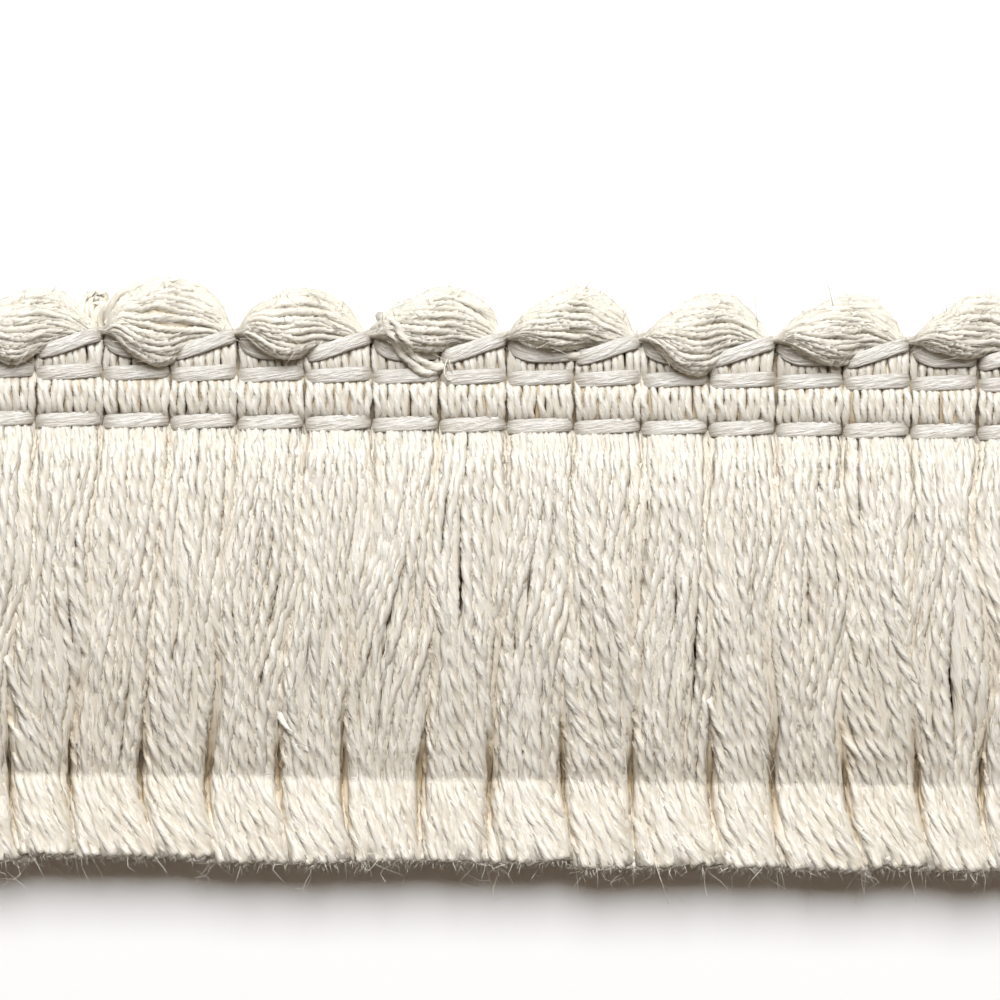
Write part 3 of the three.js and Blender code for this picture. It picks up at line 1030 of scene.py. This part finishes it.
@dataclass
class ScallopCord:
    """The soft cord along the top: in front of a column, behind the next, humped over each pair."""

    layout: Layout
    notch_y: float = 34.55
    notch_top: float = 0.15
    middle_z: float = 2.15
    weave_z: float = 0.95
    half_depth: float = 1.2
    notch_depth_share: float = 0.42
    fullness: Keys = ((0, 0), (0.1, 0.6), (0.3, 1), (0.7, 1), (0.88, 0.6), (1, 0))
    strand_count: int = 40
    strand_radius: float = 0.29
    strand_scale: tuple[float, float] = (0.62, 1.3)
    full_half_height: float = 1.9
    core_share: float = 0.55
    core_half_height: float = 2.2
    twist_pitch: float = 3.6
    lay_length: float = 60.0
    steps_a_pair: int = 22
    seed: int = 41
    yarns: Strands | None = None

    def envelope(self, x: np.ndarray) -> tuple[np.ndarray, ...]:
        """The cord's outline at each X.

        Returns:
            Its lower and upper edges, its middle above the surface, and its half depth.
        """
        number, t = self.layout.pair_share(x)
        top, bottom = np.zeros_like(x), np.zeros_like(x)
        for pair, hump in enumerate(HUMPS):
            here = number == pair
            top[here], bottom[here] = hump.top(t[here]), hump.bottom(t[here])
        low = self.notch_y - bottom
        high = self.notch_y + self.notch_top + top
        z = self.middle_z + self.weave_z * eased(WEAVE, t)
        fullness = eased(self.fullness, t)
        deep = self.half_depth * (self.notch_depth_share + (1 - self.notch_depth_share) * fullness)
        return low, high, z, deep

    def strands(self) -> Strands:
        """Lays the strands round the cord."""
        pairs = self.layout.columns // 2
        shape = YarnShape(6, self.steps_a_pair * pairs, groove=0.74)
        end = self.layout.half_length
        x = np.linspace(-end, end, shape.steps + 1)
        low, high, z, deep = self.envelope(x)
        rng = np.random.default_rng(self.seed)
        count = self.strand_count
        around = (np.arange(count) + rng.uniform(-0.3, 0.3, count)) / count * TURN
        angle = around[:, None] + TURN * x / self.lay_length
        angle = angle + 0.09 * wander(rng, x, count, 13) + 0.035 * wander(rng, x, count, 4)
        half = (high - low) / 2
        scale = np.sqrt(half * deep / (self.full_half_height * self.half_depth))
        radius = self.strand_radius * np.clip(scale, *self.strand_scale) * rng.uniform(0.85, 1.15, (count, 1))
        out = 1 + 0.05 * wander(rng, x, count, 8)
        y = (low + high) / 2 + (half - radius) * np.cos(angle) * out
        level = z + (deep - radius) * np.sin(angle) * out
        along = x + 0.15 * wander(rng, x, count, 9)
        points = np.stack([along, y, np.maximum(level, radius)], axis=2)
        pitch = self.twist_pitch * rng.uniform(0.85, 1.25, (count, 1))
        turn = TURN * x / pitch + rng.uniform(0, TURN, (count, 1))
        self.yarns = Strands(shape, points, radius, turn, sideways=(0, 1, 0))
        return self.yarns

    def core(self) -> Strands:
        """Lays the soft core that fills the cord."""
        shape = YarnShape(10, self.steps_a_pair * self.layout.columns // 4, plies=1)
        end = self.layout.half_length
        x = np.linspace(-end, end, shape.steps + 1)
        low, high, z, _ = self.envelope(x)
        points = np.stack([x, (low + high) / 2, z], axis=1)[None]
        radius = ((high - low) / 2 * self.core_share)[None]
        flat = self.half_depth / self.core_half_height
        # The core takes most of the painted shade colour, so it reads as shade between the strands.
        return Strands(shape, points, radius, np.zeros_like(radius), (0, 1, 0), flat, painted_shade=0.8)

    def build(self) -> list[bpy.types.Object]:
        """Makes the cord's strands and the core that they lie on."""
        lots = [self.strands(), self.core()]
        return [lay_strands("scallop_cord_strands", lots, self.layout, 81)]


@dataclass(frozen=True)
class Stray:
    """A yarn that strays over the others, by its route along X and Y.

    Proud is how far it stands above what it lies on.
    """

    route: tuple[tuple[float, float], ...]
    radius: float = 0.33
    proud: float = 0.02
    plies: int = 2


SKIRT_STRAYS = (
    Stray(PHOTO.route((276, 706), (290, 728), (303, 745), (320, 757))),
    Stray(PHOTO.route((705, 688), (718, 728), (742, 768))),
    Stray(PHOTO.route((840, 600), (858, 660), (875, 720), (893, 775))),
    Stray(PHOTO.route((430, 445), (412, 500), (395, 560), (374, 620), (357, 690))),
    Stray(PHOTO.route((420, 470), (404, 520), (386, 570), (366, 630))),
    Stray(PHOTO.route((130, 540), (120, 590), (107, 640), (96, 700))),
    Stray(PHOTO.route((5, 640), (20, 690), (47, 770))),
    Stray(PHOTO.route((585, 650), (600, 700), (618, 760))),
    Stray(PHOTO.route((865, 500), (885, 560), (905, 625))),
    Stray(PHOTO.route((520, 505), (507, 560), (494, 625))),
    Stray(PHOTO.route((180, 500), (192, 550), (206, 610))),
)
CORD_STRAYS = (
    Stray(PHOTO.route((84, 326), (82, 312), (85, 299), (95, 293), (107, 296)), 0.27, 0.2),
    Stray(PHOTO.route((88, 328), (87, 313), (90, 302), (97, 298), (107, 301)), 0.27, 0.25),
    Stray(PHOTO.route((93, 330), (92, 315), (94, 306), (100, 303), (108, 306)), 0.27, 0.3),
    Stray(PHOTO.route((98, 331), (97, 317), (99, 309), (104, 307), (109, 312)), 0.27, 0.3),
    Stray(PHOTO.route((103, 332), (102, 320), (105, 310), (112, 303)), 0.27, 0.3),
    Stray(((-26.15, 34.2), (-26.1, 35.3), (-25.85, 36.2), (-25.15, 36.9), (-23.95, 37.45), (-22.4, 37.65),
           (-20.8, 37.5), (-19.6, 36.85), (-18.8, 35.9), (-18.45, 34.8))),
    Stray(((-25.8, 34.2), (-25.65, 35.25), (-25.3, 36.05), (-24.6, 36.75), (-23.5, 37.15), (-22.1, 37.35),
           (-20.8, 37.1), (-19.8, 36.45), (-19.1, 35.55), (-18.75, 34.6))),
    Stray(((-25.45, 34.3), (-25.15, 35.3), (-24.7, 36.05), (-24.0, 36.6), (-23.0, 36.9), (-21.7, 37.0),
           (-20.65, 36.65), (-19.95, 36.0), (-19.35, 35.0))),
    Stray(PHOTO.route((379, 318), (386, 317), (394, 322), (402, 335), (411, 350), (422, 362), (436, 368),
                      (446, 364)), 0.36, 0.35),
    Stray(PHOTO.route((374, 331), (382, 325), (389, 330), (396, 342), (404, 355), (415, 367), (430, 373),
                      (440, 371)), 0.36, 0.35),
    Stray(PHOTO.route((560, 354), (568, 357), (577, 357), (586, 352)), 0.36, 0.1),
    Stray(((-3.7, 33.4), (-3.95, 32.7), (-4.1, 32.05), (-3.75, 31.4), (-3.5, 31.8), (-3.75, 32.2)),
          0.06, 0.1, 1),
    Stray(((-3.5, 33.3), (-3.75, 32.7), (-3.6, 32.1), (-3.4, 31.5)), 0.05, 0.15, 1),
)


@dataclass
class Strays:
    """The yarns that stray over the skirt and the scallops."""

    layout: Layout
    skirt: Skirt
    cord: ScallopCord
    heading_z: float = 2.85
    heading_y: float = 28.0
    heading_top: float = 33.8
    tuck_depth: float = 0.9
    tuck_run: float = 0.7
    twist_pitch: float = 3.2
    steps_a_millimetre: float = 2.6

    def ground(self, x: np.ndarray, y: np.ndarray) -> np.ndarray:
        """The height of what a yarn lies on at each place."""
        band = np.where(y < self.heading_y, self.skirt.depth(y), self.heading_z)
        low, high, z, deep = self.cord.envelope(x)
        off = (y - (low + high) / 2) / ((high - low) / 2)
        round_cord = z + deep * np.sqrt(np.clip(1 - off**2, 0, 1))
        beyond = y > self.heading_top
        on_cord = np.where(np.abs(off) < 1, round_cord, np.where(beyond, z, 0))
        return np.where(beyond, on_cord, np.maximum(band, on_cord))

    def lay(self, stray: Stray, seed: int) -> Strands:
        """Lays one yarn along its route, with both its ends tucked under."""
        rng = np.random.default_rng(seed)
        route = np.array(stray.route)
        travel = np.concatenate([[0], np.cumsum(np.hypot(*np.diff(route, axis=0).T))])
        steps = max(8, round(travel[-1] * self.steps_a_millimetre))
        at = np.linspace(0, travel[-1], steps + 1)
        x, y = (eased(list(zip(travel, axis)), at) for axis in route.T)
        tucked = self.tuck_depth * np.exp(-np.minimum(at, travel[-1] - at) / self.tuck_run)
        z = self.ground(x, y) - stray.radius + stray.proud - tucked
        radius = stray.radius * (1 + 0.06 * wander(rng, at, 1, 5)[0])
        turn = TURN * at / self.twist_pitch + rng.uniform(0, TURN)
        points = np.stack([x, y, np.maximum(z, radius)], axis=1)[None]
        steep = abs(route[-1, 1] - route[0, 1]) > abs(route[-1, 0] - route[0, 0])
        sideways = (0.96, 0.28, 0) if steep else (0.28, 0.96, 0)
        shape = YarnShape(8 if stray.plies > 1 else 5, steps, plies=stray.plies)
        return Strands(shape, points, radius[None], turn[None], sideways=sideways)

    def build(self) -> tuple[bpy.types.Object, bpy.types.Object]:
        """Makes the skirt's stray yarns and the scallops'."""
        on_skirt = [self.lay(stray, 300 + n) for n, stray in enumerate(SKIRT_STRAYS)]
        on_cord = [self.lay(stray, 400 + n) for n, stray in enumerate(CORD_STRAYS)]
        return (
            lay_strands("stray_skirt_yarns", on_skirt, self.layout, 61),
            lay_strands("stray_cord_yarns", on_cord, self.layout, 62),
        )


@dataclass
class Fuzz:
    """The loose fibres that stand off the yarns."""

    layout: Layout
    cord: ScallopCord
    skirt: Skirt
    long: YarnShape = YarnShape(sides=3, steps=4, plies=1)
    short: YarnShape = YarnShape(sides=3, steps=2, plies=1)
    radius: float = 0.016
    halo_count: int = 1400
    fringe_count: int = 4200
    curl_count: int = 130
    skirt_count: int = 3200
    cord_count: int = 1500
    seed: int = 97

    def fibres(
        self,
        shape: YarnShape,
        roots: np.ndarray,
        aim: np.ndarray,
        length: np.ndarray,
        curl: float,
        rng: np.random.Generator,
    ) -> Strands:
        """Lays one curved fibre from each root.

        Args:
            shape: How finely each is made.
            roots: Where the fibres leave the yarn.
            aim: The way that each sets out.
            length: How long each is.
            curl: How far each bends away, as a share of its length.
            rng: The seeded source.

        Returns:
            The fibres.
        """
        count = len(roots)
        aim = aim / np.linalg.norm(aim, axis=1, keepdims=True)
        bend = rng.normal(0, 1, (count, 3))
        bend -= (bend * aim).sum(axis=1, keepdims=True) * aim
        t = np.linspace(0, 1, shape.steps + 1)[None, :, None]
        reach = length[:, None, None]
        waves = np.sin(t * rng.uniform(1.5, 4, (count, 1, 1)))
        points = roots[:, None] + reach * (aim[:, None] * t + curl * bend[:, None] * waves * t)
        points[..., 2] = np.maximum(points[..., 2], 2 * self.radius)
        radius = self.radius * rng.uniform(0.7, 1.6, (count, 1)) * (1 - 0.5 * t[0, :, 0])
        turn = np.zeros_like(radius)
        return Strands(shape, points, radius, turn, sideways=(0.3, 0.2, 0.93))

    def halo(self) -> Strands:
        """The fibres that stand off the scallops."""
        rng = np.random.default_rng(self.seed)
        count = self.halo_count
        end = self.layout.half_length - 0.2
        x = rng.uniform(-end, end, count)
        low, high, z, deep = self.cord.envelope(x)
        angle = rng.uniform(-0.3 * math.pi, 0.6 * math.pi, count)
        half = (high - low) / 2
        roots = np.stack(
            [x, (low + high) / 2 + half * 0.95 * np.cos(angle), z + deep * 0.95 * np.sin(angle)], axis=1
        )
        aim = np.stack([rng.normal(0, 1.1, count), np.cos(angle), np.sin(angle)], axis=1)
        return self.fibres(self.short, roots, aim, rng.gamma(2.2, 0.24, count), 0.35, rng)

    def frayed(self) -> list[Strands]:
        """The fibres that fray from the cut ends: a short dense fringe, and a few long curls."""
        rng = np.random.default_rng(self.seed + 1)
        tips = np.array(self.skirt.tips)
        lots = []
        kinds = ((self.short, self.fringe_count, 0.4), (self.long, self.curl_count, 0.7))
        for shape, count, curl in kinds:
            roots = tips[rng.integers(0, len(tips), count)]
            roots = roots + rng.uniform(-0.3, 0.3, (count, 3)) * np.array([1, 0.3, 1])
            aim = np.stack(
                [rng.normal(0.1, 0.7, count), -np.ones(count), rng.normal(0.05, 0.5, count)], axis=1
            )
            fringe = shape is self.short
            length = rng.gamma(2.2, 0.15, count) if fringe else rng.uniform(0.8, 2.4, count)
            lots.append(self.fibres(shape, roots, aim, length, curl, rng))
        return lots

    def along(
        self, yarns: Strands, count: int, mean_length: float, astray: float, rng: np.random.Generator
    ) -> Strands:
        """Lays fibres along the upper side of yarns, a little astray of each yarn's own line.

        Args:
            yarns: The yarns.
            count: How many fibres.
            mean_length: The fibres' mean length.
            astray: How far each turns out of the yarn's line, as a share of its length.
            rng: The seeded source.

        Returns:
            The fibres.
        """
        yarn = rng.integers(0, len(yarns.points), count)
        ring = rng.integers(1, yarns.shape.steps - 1, count)
        line = yarns.points[yarn, ring + 1] - yarns.points[yarn, ring - 1]
        line /= np.linalg.norm(line, axis=1, keepdims=True)
        side = np.cross(line, np.array([0, 0, 1.0]))
        side /= np.linalg.norm(side, axis=1, keepdims=True)
        out = np.cross(side, line)
        lean = rng.uniform(-1.2, 1.2, count)[:, None]
        normal = side * np.sin(lean) + out * np.cos(lean)
        roots = yarns.points[yarn, ring] + normal * yarns.radius[yarn, ring][:, None] * 0.96
        aim = line * rng.choice([-1, 1], count)[:, None] + rng.normal(0, astray, (count, 1)) * side
        aim = aim + normal * rng.uniform(-0.02, 0.14, (count, 1))
        return self.fibres(self.short, roots, aim, rng.gamma(3, mean_length / 3, count), 0.1, rng)

    def build(self) -> list[bpy.types.Object]:
        """Makes the loose fibres of the scallops, of the cut ends and of the skirt."""
        rng = np.random.default_rng(self.seed + 2)
        shares = [len(lot.points) for lot in self.skirt.face_yarns]
        on_skirt = [
            self.along(lot, round(self.skirt_count * share / sum(shares)), 1.3, 0.2, rng)
            for lot, share in zip(self.skirt.face_yarns, shares)
        ]
        on_cord = [self.halo(), self.along(self.cord.yarns, self.cord_count, 1.2, 0.3, rng)]
        return [
            lay_strands("loose_fibres_scallops", on_cord, self.layout, 91),
            lay_strands("loose_fibres_cut_ends", self.frayed(), self.layout, 92),
            lay_strands("loose_fibres_skirt", on_skirt, self.layout, 93),
        ]


@dataclass(frozen=True)
class Studio:
    """A plain pale floor, soft light from the scallops' side, and a camera straight above the trim."""

    layout: Layout
    height: float = 600.0
    sensor: float = 36.0
    floor_half: float = 3.0
    floor_colour: tuple[float, float, float] = (0.94, 0.95, 0.965)
    key_elevation: float = 51.5
    key_distance: float = 1.6
    key_size: float = 1.1
    key_power: float = 36.3
    sky_strength: float = 0.115
    sky_colour: tuple[float, float, float] = (1, 0.74, 0.52)

    def floor(self) -> None:
        """Makes the floor."""
        shape = bmesh.new()
        bmesh.ops.create_grid(shape, x_segments=1, y_segments=1, size=self.floor_half)
        mesh = bpy.data.meshes.new("floor")
        shape.to_mesh(mesh)
        shape.free()
        floor = bpy.data.objects.new("floor", mesh)
        bpy.context.scene.collection.objects.link(floor)
        paper = bpy.data.materials.new("pale_paper")
        paper.use_nodes = True
        shader = paper.node_tree.nodes["Principled BSDF"]
        shader.inputs["Base Color"].default_value = (*self.floor_colour, 1)
        shader.inputs["Roughness"].default_value = 0.9
        shader.inputs["Specular IOR Level"].default_value = 0.1
        mesh.materials.append(paper)

    def key(self) -> None:
        """Hangs the large square light beyond the scallops, aimed at the trim's middle."""
        light = bpy.data.lights.new("key", "AREA")
        light.shape = "SQUARE"
        light.size = self.key_size
        light.energy = self.key_power
        lamp = bpy.data.objects.new("key", light)
        bpy.context.scene.collection.objects.link(lamp)
        up = math.radians(self.key_elevation)
        lamp.location = (0, self.key_distance * math.cos(up), self.key_distance * math.sin(up))
        lamp.rotation_euler = (up - math.pi / 2, 0, 0)

    def build(self) -> None:
        """Sets up the floor, the light, the sky and the camera."""
        scene = bpy.context.scene
        scene.view_settings.view_transform = "Standard"
        self.floor()
        self.key()
        sky = bpy.data.worlds.new("sky")
        sky.use_nodes = True
        glow = sky.node_tree.nodes["Background"]
        glow.inputs["Color"].default_value = (*self.sky_colour, 1)
        glow.inputs["Strength"].default_value = self.sky_strength
        scene.world = sky
        lens = bpy.data.cameras.new("camera")
        lens.sensor_width = self.sensor
        lens.lens = self.sensor * self.height / PHOTO.width
        lens.clip_start = 0.01
        camera = bpy.data.objects.new("camera", lens)
        scene.collection.objects.link(camera)
        spot = self.layout.metres(np.array([PHOTO.middle_x, PHOTO.middle_y, self.height]))
        camera.location = spot.tolist()
        camera.rotation_euler = (0, 0, math.radians(PHOTO.tilt))
        scene.camera = camera


# Each finish's colour for hollows is a painted shade colour, for crevices, grooves and undersides.
VISCOSE = YarnFinish(
    name="cream_viscose",
    colour=(0.93, 0.92, 0.875),
    streak_colour=(0.8, 0.76, 0.66),
    painted_shade_colour=(0.6, 0.48, 0.31),
    roughness=0.34,
    sheen=0.1,
    gloss=0.7,
    along_gloss=0.6,
)
COTTON = YarnFinish(
    name="cream_cotton",
    colour=(0.93, 0.915, 0.845),
    streak_colour=(0.84, 0.805, 0.705),
    painted_shade_colour=(0.7, 0.57, 0.37),
    roughness=0.7,
    sheen=0.25,
    gloss=0.3,
    painted_shade_share=0.6,
    fibre_bump=0.025,
)
LOOSE_FIBRE = YarnFinish(
    name="cream_fibre",
    colour=(0.95, 0.935, 0.87),
    streak_colour=(0.95, 0.935, 0.87),
    painted_shade_colour=(0.5, 0.38, 0.22),
    roughness=0.5,
    sheen=0.1,
    gloss=0.5,
    tone_spread=0.45,
)
THREAD = YarnFinish(
    name="grey_thread",
    colour=(0.9, 0.89, 0.85),
    streak_colour=(0.64, 0.62, 0.57),
    painted_shade_colour=(0.47, 0.42, 0.35),
    roughness=0.3,
    sheen=0.1,
    gloss=0.85,
    along_gloss=0.7,
    fibre_bump=0.09,
    fibre_across=5.5,
    fibre_along=0.8,
)


def dress(
    pieces: Sequence[bpy.types.Object], finish: bpy.types.Material, nodes: Sequence[str] = ()
) -> None:
    """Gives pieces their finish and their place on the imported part.

    Args:
        pieces: The pieces.
        finish: Their material.
        nodes: The CAD nodes that they stand for.
    """
    for piece in pieces:
        piece.data.materials.append(finish)
        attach(piece, BODY)
        if nodes:
            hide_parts(*nodes)
        triangles = sum(len(face.vertices) - 2 for face in piece.data.polygons)
        log.info("%s: %d triangles", piece.name, triangles)


def main() -> None:
    """Builds the trim piece by piece and sets it in the studio."""
    logging.basicConfig(level=logging.INFO, format="%(message)s")
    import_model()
    layout = Layout.from_frame()
    viscose, cotton, thread = VISCOSE.material(), COTTON.material(), THREAD.material()
    skirt = Skirt(layout)
    dress(skirt.build(), viscose, ["skirt"])
    heading = Heading(layout)
    dress(heading.build(), viscose, ["heading"])
    rows = (
        Binding(heading, "lower_binding_threads", heading.lower_y, seed=1),
        Binding(heading, "middle_binding_threads", heading.middle_y, seed=8),
        Binding(heading, "upper_binding_threads", heading.upper_y, rises=True, seed=15),
    )
    for row in rows:
        dress([row.build()], thread, [row.name.removesuffix("_threads")])
    cord = ScallopCord(layout)
    dress(cord.build(), cotton, ["scallop_cord"])
    skirt_strays, cord_strays = Strays(layout, skirt, cord).build()
    dress([skirt_strays], viscose)
    dress([cord_strays], cotton)
    dress(Fuzz(layout, cord, skirt).build(), LOOSE_FIBRE.material())
    Studio(layout).build()


if __name__ == "__main__":
    main()
